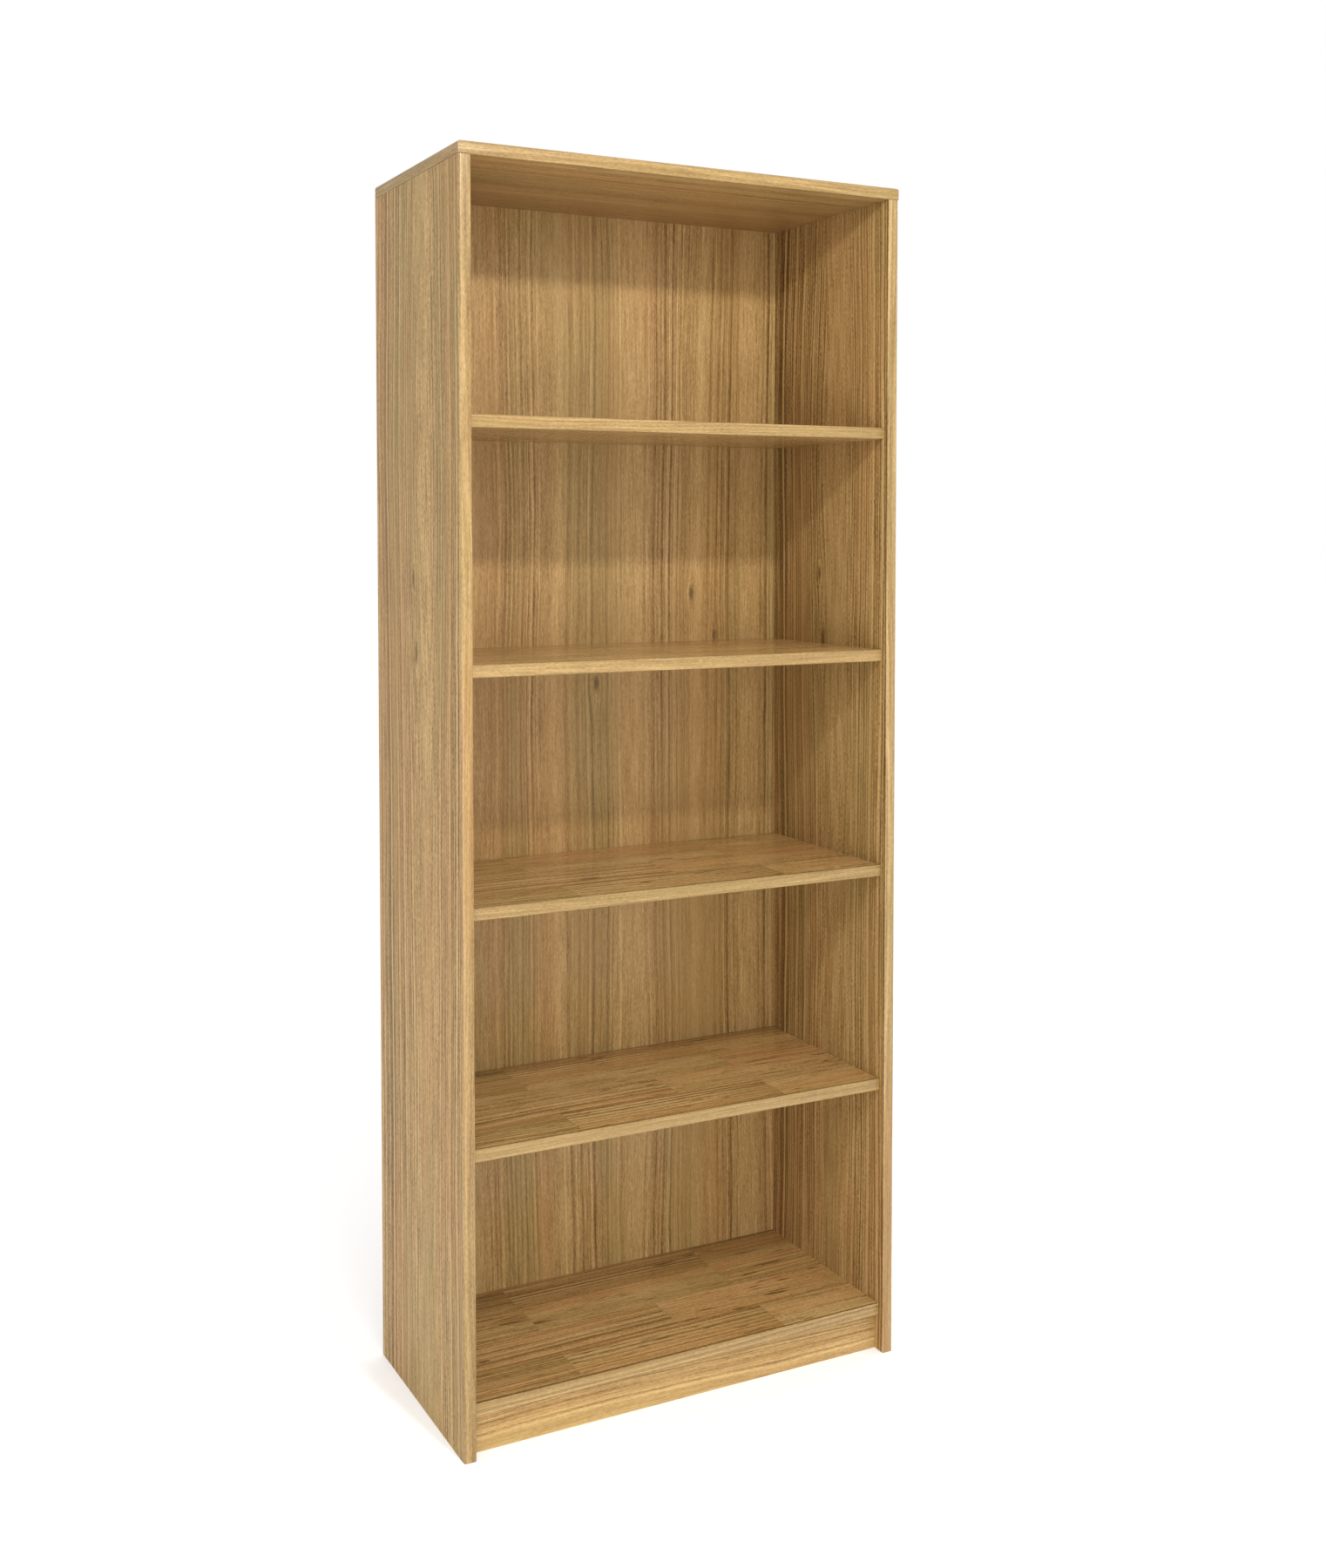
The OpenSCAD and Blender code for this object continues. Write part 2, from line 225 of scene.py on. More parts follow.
    below = mixed(tree, spread(tree, tone, 0.05, 0.5, smooth=False), given["Deep"], given["Mid"])
    wood = mixed(tree, spread(tree, tone, 0.5, 0.95, smooth=False), below, given["Pale"])
    for tint, scale, own_seed in (("Olive", (13.0, 1.1, 1.0), 31.0), ("Rust", (17.0, 1.3, 1.0), 43.0)):
        patch = spread(tree, cloud(tree, bent, scale, own_seed, 1.5), 0.42, 0.64)
        share = sums(tree, "MULTIPLY", patch, given[tint + " Share"])
        wood = mixed(tree, share, wood, mixed(tree, 0.65, wood, given[tint]))
    for dark, most in ((pore, 0.28), (mark, given["Marks"])):
        wood = mixed(tree, sums(tree, "MULTIPLY", dark, most), wood, given["Deep"])
    knot_brown = (0.13, 0.075, 0.028, 1)
    wood = mixed(tree, sums(tree, "MULTIPLY", given["Knot"], 0.85), wood, knot_brown)
    tree.links.new(wood, out["Color"])
    tree.links.new(pore, out["Pores"])
    pits = sums(tree, "MULTIPLY", pore, 0.6)
    tree.links.new(sums(tree, "SUBTRACT", sums(tree, "MULTIPLY", tone, 0.5), pits), out["Height"])
    return tree


def make_knot():
    """A small knot: a dark core, and how far it pushes the lines of the wood aside, in metres."""
    tree, given, out = new_group(
        "knot",
        [("Place", "Vector", (0, 0, 0)), ("Across", "Float", 0.0), ("Along", "Float", 0.0),
         ("Width", "Float", 0.006), ("Length", "Float", 0.02), ("Before", "Float", 0.0),
         ("Push Before", "Float", 0.0)],
        [("Knot", "Float"), ("Push", "Float")])
    axes = add(tree, "SeparateXYZ", {0: given["Place"]}).outputs
    ragged = swing(tree, cloud(tree, given["Place"], (260.0, 60.0, 9.0), 5.0, 2.0), 0.006)
    dx = sums(tree, "ADD", sums(tree, "SUBTRACT", axes["X"], given["Across"]), ragged)
    dy = sums(tree, "SUBTRACT", axes["Y"], given["Along"])
    across = sums(tree, "DIVIDE", dx, given["Width"])
    along = sums(tree, "DIVIDE", dy, given["Length"])
    far_squared = sums(tree, "MULTIPLY_ADD", across, across, squared(tree, along))
    core = spread(tree, sums(tree, "SQRT", far_squared), 0.25, 1.0, 1.0, 0.0)
    fall = sums(tree, "EXPONENT", sums(tree, "MULTIPLY", far_squared, -0.3))
    push = sums(tree, "MULTIPLY", sums(tree, "MULTIPLY", dx, fall), -0.9)
    tree.links.new(sums(tree, "MAXIMUM", core, given["Before"]), out["Knot"])
    tree.links.new(sums(tree, "ADD", push, given["Push Before"]), out["Push"])
    return tree


def make_chipboard():
    """The broken face of chipboard: pale and brown flakes pressed flat in the board."""
    tree, given, out = new_group(
        "chipboard", [("Place", "Vector", (0, 0, 0))], [("Color", "Color"), ("Height", "Float")])
    brown, pale = (0.30, 0.19, 0.095, 1), (0.56, 0.40, 0.22, 1)
    bark, glue = (0.15, 0.085, 0.04, 1), (0.16, 0.10, 0.05, 1)
    flakes_per_metre = (620.0, 620.0, 620.0)
    at = add(tree, "VectorMath", {0: given["Place"], 1: flakes_per_metre}, operation="MULTIPLY").outputs[0]
    chip = add(tree, "TexVoronoi", {"Vector": at, "Scale": 1.0}, voronoi_dimensions="3D").outputs
    chance = add(tree, "SeparateColor", {0: chip["Color"]}).outputs
    flake = mixed(tree, chance[0], brown, pale)
    flake = mixed(tree, sums(tree, "GREATER_THAN", chance[1], 0.86), flake, bark)
    gap = spread(tree, chip["Distance"], 0.35, 0.9)
    tree.links.new(mixed(tree, sums(tree, "MULTIPLY", gap, 0.35), flake, glue), out["Color"])
    tree.links.new(sums(tree, "MULTIPLY", chance[2], sums(tree, "SUBTRACT", 1.0, gap)), out["Height"])
    return tree


def make_board_face():
    """1 where a point of a board lies on one of its two broad faces, 0 on its edges and in holes."""
    tree, given, out = new_group(
        "board face",
        [("Through", "Float", 0.0), ("Normal Through", "Float", 0.0), ("Middle", "Float", 0.0),
         ("Half", "Float", 0.009)],
        [("Face", "Float"), ("Glue Line", "Float")])
    off = sums(tree, "ABSOLUTE", sums(tree, "SUBTRACT", given["Through"], given["Middle"]))
    deep = sums(tree, "SUBTRACT", given["Half"], off)
    flat = sums(tree, "GREATER_THAN", sums(tree, "ABSOLUTE", given["Normal Through"]), 0.45)
    skin = sums(tree, "LESS_THAN", deep, 0.7 * MM)
    shallow = sums(tree, "LESS_THAN", deep, 0.8 * MM)
    face = sums(tree, "MULTIPLY", sums(tree, "MAXIMUM", flat, skin), shallow)
    past_veneer = sums(tree, "GREATER_THAN", deep, 0.6 * MM)
    line = sums(tree, "MULTIPLY", past_veneer, sums(tree, "LESS_THAN", deep, 0.95 * MM))
    tree.links.new(face, out["Face"])
    tree.links.new(line, out["Glue Line"])
    return tree


wood_figure = make_wood_figure()
knot_group = make_knot()
chipboard = make_chipboard()
board_face = make_board_face()


def new_material(name):
    made = bpy.data.materials.new(name)
    made.use_nodes = True
    tree = made.node_tree
    return made, tree, tree.nodes["Principled BSDF"].inputs


def use_group(tree, group, sockets):
    return add(tree, "Group", sockets, node_tree=group).outputs


def colour(red, green, blue):
    """A colour given as it looks on a screen, from 0 to 255, made linear for a shader."""
    def linear(part):
        part /= 255
        return part / 12.92 if part <= 0.04045 else ((part + 0.055) / 1.055) ** 2.4
    return (linear(red), linear(green), linear(blue), 1.0)


# Tones of the veneer under its lacquer.
VENEER = {
    "Pale": colour(197, 165, 112), "Mid": colour(157, 124, 75), "Deep": colour(98, 70, 36),
    "Olive": colour(144, 125, 74), "Rust": colour(174, 125, 78),
}


def lacquered_wood(name, across, along, through, seed, leaf=0.13, tones=VENEER, contrast=1.0, olive=0.5,
                   rust=0.45, marks=0.2, gloss=0.30, coat=0.06, shine=0.22, haze=0.12, bump=0.2,
                   board=None, staves=None, heart=0.0, wave=0.03, oval=None, knots=()):
    """Wood whose grain runs along one axis. A board is given as (middle, half) of its thickness.

    A whole leaf has its heart where heart says. oval is (middle, half-length, least depth, depth
    elsewhere) of the place where its rings close into a long oval. A knot is (across, along,
    half-width, half-length)."""
    made, tree, shader = new_material(name)
    where = add(tree, "TexCoord").outputs
    point = add(tree, "SeparateXYZ", {0: where["Object"]}).outputs
    facing = add(tree, "SeparateXYZ", {0: where["Normal"]}).outputs
    place = add(tree, "CombineXYZ", {
        "X": point[across], "Y": point[along], "Z": point[through]}).outputs[0]
    knot, push, depth = 0.0, 0.0, 0.05
    for knot_across, knot_along, width, length in knots:
        made_knot = use_group(tree, knot_group, {
            "Place": place, "Across": knot_across, "Along": knot_along, "Width": width,
            "Length": length, "Before": knot, "Push Before": push})
        knot, push = made_knot["Knot"], made_knot["Push"]
    if oval:
        middle, half, least, elsewhere = oval
        off = sums(tree, "DIVIDE", sums(tree, "SUBTRACT", point[along], middle), half)
        near = sums(tree, "EXPONENT", sums(tree, "MULTIPLY", squared(tree, off), -1.0))
        depth = sums(tree, "MULTIPLY_ADD", near, least - elsewhere, elsewhere)
    if staves:
        stave = use_group(tree, staves, {"Place": place})
        place = stave["Place"]
    figure = use_group(tree, wood_figure, {
        "Place": place, "Seed": seed, "Leaf Width": leaf, "Contrast": contrast, "Heart": heart,
        "Heart Depth": depth, "Knot": knot, "Push": push, "Wave": wave, "Olive Share": olive,
        "Rust Share": rust, "Marks": marks, **tones})
    skin, height = figure["Color"], figure["Height"]
    rough = sums(tree, "MULTIPLY_ADD", figure["Pores"], 0.16, gloss)
    if staves:
        skin = mixed(tree, 1.0, skin, stave["Tone"], "MULTIPLY")
        skin = mixed(tree, sums(tree, "MULTIPLY", stave["Joint"], 0.3), skin, tones["Deep"])
    if board:
        core = use_group(tree, chipboard, {"Place": where["Object"]})
        face = use_group(tree, board_face, {
            "Through": point[through], "Normal Through": facing[through],
            "Middle": board[0], "Half": board[1]})
        glue_brown, bare_rough = (0.12, 0.07, 0.03, 1), 0.85
        skin = mixed(tree, face["Face"], core["Color"], skin)
        skin = mixed(tree, sums(tree, "MULTIPLY", face["Glue Line"], 0.6), skin, glue_brown)
        rough = spread(tree, face["Face"], 0.0, 1.0, bare_rough, rough, smooth=False)
        height = spread(tree, face["Face"], 0.0, 1.0, core["Height"], height, smooth=False)
        tree.links.new(sums(tree, "MULTIPLY", face["Face"], coat), shader["Coat Weight"])
    else:
        shader["Coat Weight"].default_value = coat
    tree.links.new(skin, shader["Base Color"])
    tree.links.new(rough, shader["Roughness"])
    relief = add(tree, "Bump", {"Height": height, "Strength": bump, "Distance": 0.25 * MM})
    tree.links.new(relief.outputs[0], shader["Normal"])
    shader["Coat Roughness"].default_value = haze
    shader["Specular IOR Level"].default_value = shine
    return made


def make_easing():
    """A modifier that welds a CAD mesh and marks the edges to be eased, for the bevel after it.

    An edge is marked where its weights add up to 2: Low and High give the weight of lying on
    the lowest or highest plane of the piece along each axis."""
    tree = bpy.data.node_groups.new("mark edges to ease", "GeometryNodeTree")
    tree.is_modifier = True
    tree.interface.new_socket("Geometry", in_out="INPUT", socket_type="NodeSocketGeometry")
    for label in ("Low", "High"):
        socket = tree.interface.new_socket(label, in_out="INPUT", socket_type="NodeSocketVector")
        socket.default_value = (1.0, 1.0, 1.0)
    tree.interface.new_socket("Geometry", in_out="OUTPUT", socket_type="NodeSocketGeometry")
    given = tree.nodes.new("NodeGroupInput").outputs
    out = tree.nodes.new("NodeGroupOutput").inputs

    def geometry(kind, sockets=None, **settings):
        return new_node(tree, "GeometryNode" + kind, sockets, **settings).outputs

    def vectors(operation, *values):
        return add(tree, "VectorMath", dict(enumerate(values)), operation=operation).outputs

    welded = geometry("MergeByDistance", {"Geometry": given["Geometry"], "Distance": 1e-6})[0]
    ends = geometry("BoundBox", {"Geometry": welded})
    at = geometry("InputPosition")[0]
    # A point nearer to a plane than 0.02 mm counts as lying on it.
    ones, per_tolerance = (1.0, 1.0, 1.0), (5e4, 5e4, 5e4)
    weights = []
    for plane, label in (("Min", "Low"), ("Max", "High")):
        gap = vectors("ABSOLUTE", vectors("SUBTRACT", at, ends[plane])[0])[0]
        off = vectors("MINIMUM", vectors("MULTIPLY", gap, per_tolerance)[0], ones)[0]
        on = vectors("SUBTRACT", ones, off)[0]
        weights.append(vectors("DOT_PRODUCT", on, given[label])["Value"])
    outer = sums(tree, "GREATER_THAN", sums(tree, "ADD", *weights), 1.5)
    crisp = sums(tree, "GREATER_THAN", geometry("InputMeshEdgeAngle")[0], math.radians(40))
    eased = sums(tree, "MULTIPLY", outer, crisp)
    kept = sums(tree, "SUBTRACT", crisp, eased)
    marked = geometry(
        "StoreNamedAttribute", {"Geometry": welded, "Name": "bevel_weight_edge", "Value": eased},
        data_type="FLOAT", domain="EDGE")[0]
    smooth = geometry("SetShadeSmooth", {"Geometry": marked, "Shade Smooth": True}, domain="FACE")[0]
    sharp = geometry(
        "SetShadeSmooth", {"Geometry": smooth, "Selection": kept, "Shade Smooth": False},
        domain="EDGE")[0]
    tree.links.new(sharp, out[0])
    return tree


easing = make_easing()
ALL, END_Z, END_X, END_Y = (1, 1, 1), (0, 0, 2), (2, 0, 0), (0, 2, 0)


def finish_cad(node, material, low=ALL, high=ALL, ease=0.35 * MM, steps=2):
    """Gives a CAD piece its material, and takes the sharpness off its edges, as sanding does."""
    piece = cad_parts[node]
    piece.data.materials.clear()
    piece.data.materials.append(material)
    marks = piece.modifiers.new("edges to ease", "NODES")
    marks.node_group = easing
    weights = {"Low": low, "High": high}
    for socket in easing.interface.items_tree:
        if socket.in_out == "INPUT" and socket.name in weights:
            marks[socket.identifier] = [float(part) for part in weights[socket.name]]
    eased = piece.modifiers.new("eased edges", "BEVEL")
    eased.limit_method, eased.width, eased.segments = "WEIGHT", ease, steps
    eased.use_clamp_overlap = False
    level = piece.modifiers.new("even shading", "WEIGHTED_NORMAL")
    level.keep_sharp = True


def middle_and_half(node, axis):
    low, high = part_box(node)
    return (low[axis] + high[axis]) / 2, (high[axis] - low[axis]) / 2


# Both sides are cut from one run of veneer. Its rings close into a long oval above the middle.
SIDE_KNOTS = ((0.013, 1.211, 0.007, 0.020), (0.002, 1.104, 0.008, 0.026))
for side in ("left", "right"):
    node = "side_panel_" + side
    wood = lacquered_wood(
        node + " veneer", Y, Z, X, 4.0, leaf=1.0, contrast=1.35, olive=0.55, rust=0.35, shine=0.03,
        heart=-0.036, wave=0.012, oval=(1.45, 0.36, 0.030, 0.055), knots=SIDE_KNOTS,
        board=middle_and_half(node, X))
    finish_cad(node, wood, low=(1, 0, 1))


# The side lippings
# Strips of solid wood, 4.5 mm thick, glued to the front edges of the sides before they are
# lacquered. Their outer corners are well rounded, the inner ones less.
LIPPING = {
    "Pale": colour(182, 152, 102), "Mid": colour(148, 120, 72), "Deep": colour(110, 80, 42),
    "Olive": colour(146, 126, 71), "Rust": colour(163, 117, 67),
}


def lipping_wood(name, axes, seed, olive, rust, coat=0.85, shine=0.1, haze=0.22, bump=0.2):
    """Solid wood under thick lacquer. The axes lie across, along and through its grain."""
    return lacquered_wood(
        name, *axes, seed, leaf=0.05, tones=LIPPING, contrast=0.8, olive=olive, rust=rust, marks=0.1,
        coat=coat, shine=shine, haze=haze, bump=bump)


for side, seed in (("left", 14.0), ("right", 17.0)):
    wood = lipping_wood("side lipping " + side, (X, Z, Y), seed, 0.3, 0.5)
    finish_cad("side_edging_" + side, wood, END_Z, END_Z, 0.4 * MM)


# The top
# One more 18 mm veneered board, its grain from side to side. It lies over the sides and carries
# lippings on its front and both ends, so that only its rear edge is bare.
top_wood = lacquered_wood("top veneer", Y, X, Z, 22.0, board=middle_and_half("top_panel", Z))
finish_cad("top_panel", top_wood, low=(0, 0, 1), high=(0, 1, 1))
front_wood = lipping_wood("top lipping front", (Z, X, Y), 25.0, 0.3, 0.3)
finish_cad("top_edging_front", front_wood, END_X, END_X, 0.8 * MM, 3)
for side, seed in (("left", 27.0), ("right", 28.0)):
    wood = lipping_wood("top lipping " + side, (Z, Y, X), seed, 0.3, 0.3, coat=0.15, shine=0.05, haze=0.12)
    finish_cad("top_edging_" + side, wood, (0, 0, 0), END_Y, 0.4 * MM)


# The bottom shelf
# A fixed board of the same make as the loose shelves: its veneer is laid in staves, short planks
# of differing tone that meet end to end. It is dowelled between the sides and rests on the plinth.
STAVE_LENGTH = 337 * MM
STAVE_WIDTH = 79 * MM
FIRST_STAVE = -162.5 * MM
SECOND_ROW_SHIFT = 0.42
END_JOINT = 0.4 * MM
EDGE_JOINT = 0.3 * MM


def make_staves():
    """Splits a face into staves, and gives each its own piece of the wood and its own tone."""
    tree, given, out = new_group(
        "staves", [("Place", "Vector", (0, 0, 0))],
        [("Place", "Vector"), ("Tone", "Color"), ("Joint", "Float")])
    axes = add(tree, "SeparateXYZ", {0: given["Place"]}).outputs
    row_at = sums(tree, "DIVIDE", sums(tree, "SUBTRACT", axes["X"], FIRST_STAVE), STAVE_WIDTH)
    row = sums(tree, "FLOOR", row_at)
    is_second = sums(tree, "COMPARE", row, 1.0, 0.1)
    step = sums(tree, "MULTIPLY_ADD", is_second, SECOND_ROW_SHIFT, 0.5)
    length_at = sums(tree, "ADD", sums(tree, "DIVIDE", axes["Y"], STAVE_LENGTH), step)
    number = sums(tree, "MULTIPLY_ADD", row, 13.7, sums(tree, "FLOOR", length_at))
    chance = add(tree, "TexWhiteNoise", {"W": number}, noise_dimensions="1D").outputs
    apart = add(tree, "VectorMath", {0: chance["Color"], 1: (9.0, 9.0, 9.0), 2: given["Place"]},
                operation="MULTIPLY_ADD").outputs[0]
    tree.links.new(apart, out["Place"])
    hue = add(tree, "SeparateColor", {0: chance["Color"]}).outputs
    dark, light, reddish = (0.88, 0.89, 0.85, 1), (1.08, 1.06, 1.06, 1), (1.07, 0.99, 0.93, 1)
    tone = mixed(tree, hue[0], dark, light)
    # Each stave darkens towards one end.
    darkening = spread(tree, sums(tree, "FRACT", length_at), 0.55, 1.0)
    tone = mixed(tree, darkening, tone, mixed(tree, 1.0, tone, (0.84, 0.85, 0.76, 1), "MULTIPLY"))
    tree.links.new(mixed(tree, sums(tree, "MULTIPLY", hue[1], 0.5), tone, reddish), out["Tone"])
    end = sums(tree, "ABSOLUTE", sums(tree, "SUBTRACT", sums(tree, "FRACT", length_at), 0.5))
    edge = sums(tree, "ABSOLUTE", sums(tree, "SUBTRACT", sums(tree, "FRACT", row_at), 0.5))
    at_end = sums(tree, "GREATER_THAN", end, 0.5 - END_JOINT / STAVE_LENGTH)
    at_edge = sums(tree, "GREATER_THAN", edge, 0.5 - EDGE_JOINT / STAVE_WIDTH)
    tree.links.new(sums(tree, "MAXIMUM", at_end, at_edge), out["Joint"])
    return tree


staves = make_staves()
STAVED = {
    "Pale": colour(208, 176, 122), "Mid": colour(169, 135, 84), "Deep": colour(108, 78, 40),
    "Olive": colour(154, 132, 74), "Rust": colour(182, 131, 79),
}


def staved_board(node, seed):
    wood = lacquered_wood(
        node + " staves", Y, X, Z, seed, leaf=0.3, tones=STAVED, contrast=1.35, olive=0.45, rust=0.6,
        marks=1.2, gloss=0.26, coat=0.25, shine=0.35, haze=0.14, bump=0.15,
        board=middle_and_half(node, Z), staves=staves)
    finish_cad(node, wood, low=(1, 0, 1))


def shelf_lipping(node, seed):
    wood = lipping_wood(node + " wood", (Z, X, Y), seed, 0.4, 0.2, bump=0.35)
    finish_cad(node, wood, END_X, END_X, 0.4 * MM)


staved_board("bottom_shelf", 33.0)
shelf_lipping("bottom_edging", 35.0)


# The plinth
# A strip of the veneered board on edge under the bottom shelf, set back from the front. Its grain
# runs from side to side, and it stands on the floor with its bare lower edge.
plinth_wood = lacquered_wood(
    "plinth veneer", Z, X, Y, 38.0, leaf=0.3, tones=STAVED, contrast=0.6, rust=0.4, marks=0.3,
    board=middle_and_half("plinth", Y))
finish_cad("plinth", plinth_wood)


# The back panel
# A 5 mm board, veneered with its grain upright, that slides into grooves in the sides and top.
BACK_KNOTS = ((0.176, 1.178, 0.006, 0.018), (0.220, 1.107, 0.005, 0.016), (0.002, 1.035, 0.007, 0.020))
back_wood = lacquered_wood(
    "back veneer", X, Z, Y, 41.0, contrast=0.78, olive=0.6, rust=0.35, knots=BACK_KNOTS,
    board=middle_and_half("back_panel", Y))
finish_cad("back_panel", back_wood, ease=0.2 * MM)


def separate_solids(node):
    """The lowest and highest corners of each solid in a CAD node, in a fixed order."""
    bm = bmesh.new()
    bm.from_mesh(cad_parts[node].data)
    bmesh.ops.remove_doubles(bm, verts=bm.verts, dist=1e-6)
    found, boxes = set(), []
    for first in bm.verts:
        if first in found:
            continue
        found.add(first)
        group, waiting = [first], [first]
        while waiting:
            here = waiting.pop()
            for edge in here.link_edges:
                there = edge.other_vert(here)
                if there not in found:
                    found.add(there)
                    group.append(there)
                    waiting.append(there)
        low = Vector([min(vert.co[axis] for vert in group) for axis in range(3)])
        high = Vector([max(vert.co[axis] for vert in group) for axis in range(3)])
        boxes.append((low, high))
    bm.free()
    return sorted(boxes, key=lambda box: tuple(round(part, 4) for part in (box[0] + box[1])))


def upright_to(start, end):
    """The matrix that lays a piece turned about Z, from height 0 up, from start towards end."""
    turn = (end - start).to_track_quat("Z", "X").to_matrix().to_4x4()
    return Matrix.Translation(start) @ turn


def turned(bm, outline, matrix, steps, flutes=0, flute_depth=0.0, pitch=0.0, thread=0.0):
    """Adds a turned solid. The outline is a list of (radius, height) in mm, from end to end."""
    winding = 40
    rings = []
    for radius, height in [(radius * MM, height * MM) for radius, height in outline]:
        if radius <= 0:
            rings.append([bm.verts.new(matrix @ Vector((0, 0, height)))])
            continue
        ring = []
        for step in range(steps):
            angle = 2 * math.pi * step / steps
            here = radius
            if flutes:
                here -= flute_depth * (0.5 + 0.5 * math.cos(flutes * angle + winding * height))
            if pitch:
                across = (height / pitch - step / steps) % 1.0
                here -= thread * abs(2 * across - 1)
            point = Vector((here * math.cos(angle), here * math.sin(angle), height))
            ring.append(bm.verts.new(matrix @ point))
        rings.append(ring)
    for low, high in zip(rings, rings[1:]):
        for step in range(steps):
            after = (step + 1) % steps
            if len(low) == 1:
                bm.faces.new((low[0], high[after], high[step]))
            elif len(high) == 1:
                bm.faces.new((low[step], low[after], high[0]))
            else:
                bm.faces.new((low[step], low[after], high[after], high[step]))


def new_piece(name, bm, material, body, nodes, sharp=35.0):
    """Makes a mesh into a piece that rides on a body and stands for CAD nodes."""
    bmesh.ops.recalc_face_normals(bm, faces=bm.faces)
    mesh = bpy.data.meshes.new(name)
    bm.to_mesh(mesh)
    bm.free()
    mesh.shade_smooth()
    mesh.set_sharp_from_angle(angle=math.radians(sharp))
    mesh.materials.append(material)
    piece = bpy.data.objects.new(name, mesh)
    bpy.context.collection.objects.link(piece)
    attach(piece, body)
    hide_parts(*nodes)
    return piece


def make_worn_metal():
    """Tone and roughness of drawn or plated steel: soft cloudy patches and fine drawn lines."""
    tree, given, out = new_group(
        "drawn metal", [("Place", "Vector", (0, 0, 0)), ("Tone", "Color", (0.6, 0.6, 0.6, 1)),
                        ("Dull Tone", "Color", (0.4, 0.4, 0.4, 1)), ("Roughness", "Float", 0.3)],
        [("Color", "Color"), ("Roughness", "Float"), ("Height", "Float")])
    patch = spread(tree, cloud(tree, given["Place"], (260.0, 260.0, 260.0), 3.0, 3.0), 0.4, 0.65)
    fine = cloud(tree, given["Place"], (3000.0, 3000.0, 700.0), 7.0)
    tone = mixed(tree, sums(tree, "MULTIPLY", patch, 0.6), given["Tone"], given["Dull Tone"])
    rough = sums(tree, "MULTIPLY_ADD", patch, 0.12, given["Roughness"])
    tree.links.new(tone, out["Color"])
    tree.links.new(swing(tree, fine, 0.1, rough), out["Roughness"])
    tree.links.new(fine, out["Height"])
    return tree


drawn_metal = make_worn_metal()


def steel(name, tone, dull, rough, bump=0.15):
    made, tree, shader = new_material(name)
    place = add(tree, "TexCoord").outputs["Object"]
    metal = use_group(tree, drawn_metal, {
        "Place": place, "Tone": tone, "Dull Tone": dull, "Roughness": rough})
    tree.links.new(metal["Color"], shader["Base Color"])
    tree.links.new(metal["Roughness"], shader["Roughness"])
    relief = add(tree, "Bump", {"Height": metal["Height"], "Strength": bump, "Distance": 0.02 * MM})
    tree.links.new(relief.outputs[0], shader["Normal"])
    shader["Metallic"].default_value = 1.0
    return made


# The back pins
# Five bright steel panel pins with flat heads, driven through the back into the bottom shelf.
pin_bright = steel("bright nail steel", (0.55, 0.55, 0.54, 1), (0.36, 0.35, 0.34, 1), 0.32)
bm = bmesh.new()
for low, high in separate_solids("back_nails"):
    mid = (low + high) / 2
    head, tip = Vector((mid.x, high.y, mid.z)), Vector((mid.x, low.y, mid.z))
    outline = [(0, 0.06), (1.2, 0.03), (1.75, 0.08), (1.98, 0.25), (1.98, 0.5), (1.7, 0.74), (0.95, 0.8)]
    for groove in range(5):
        outline += [(0.78, 1.5 + groove), (0.70, 1.75 + groove), (0.78, 2.0 + groove)]
    outline += [(0.78, 23.4), (0.45, 24.8), (0, 25.75)]
    turned(bm, outline, upright_to(head, tip), 20)
new_piece("panel_pins", bm, pin_bright, "carcass", ["back_nails"])


# The adjustable shelves
# Four loose staved boards with a lipping at the front. Under each end two pockets are milled for
# the pins, so the shelf drops over them and cannot slide forward.
for number in range(1, 5):
    staved_board("shelf_%d" % number, 33.0)
    shelf_lipping("shelf_edging_%d" % number, 50.0 + number)


# The shelf pins
# Plain turned pins of nickel-plated steel, four under each shelf, pushed halfway into the holes in
# the sides. Their ends are rounded, and a shallow groove shows how deep they go.
nickel = steel("nickel plate", (0.72, 0.69, 0.63, 1), (0.60, 0.57, 0.52, 1), 0.18)
for number in range(1, 5):
    for row in ("front", "rear"):
        for side in ("left", "right"):
            node = "shelf_%d_pin_%s_%s" % (number, row, side)
            low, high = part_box(node)
            mid = (low + high) / 2
            ends = Vector((low.x, mid.y, mid.z)), Vector((high.x, mid.y, mid.z))
            outline = [(0, 0), (1.3, 0), (1.85, 0.1), (2.25, 0.35), (2.42, 0.75), (2.45, 1.1), (2.45, 9.1),
                       (2.3, 9.35), (2.3, 9.65), (2.45, 9.9), (2.45, 17.9), (2.42, 18.25), (2.25, 18.65),
                       (1.85, 18.9), (1.3, 19), (0, 19)]
            bm = bmesh.new()
            turned(bm, outline, upright_to(*ends), 40)
            new_piece("turned_pin_%d_%s_%s" % (number, row, side), bm, nickel, node, [node])


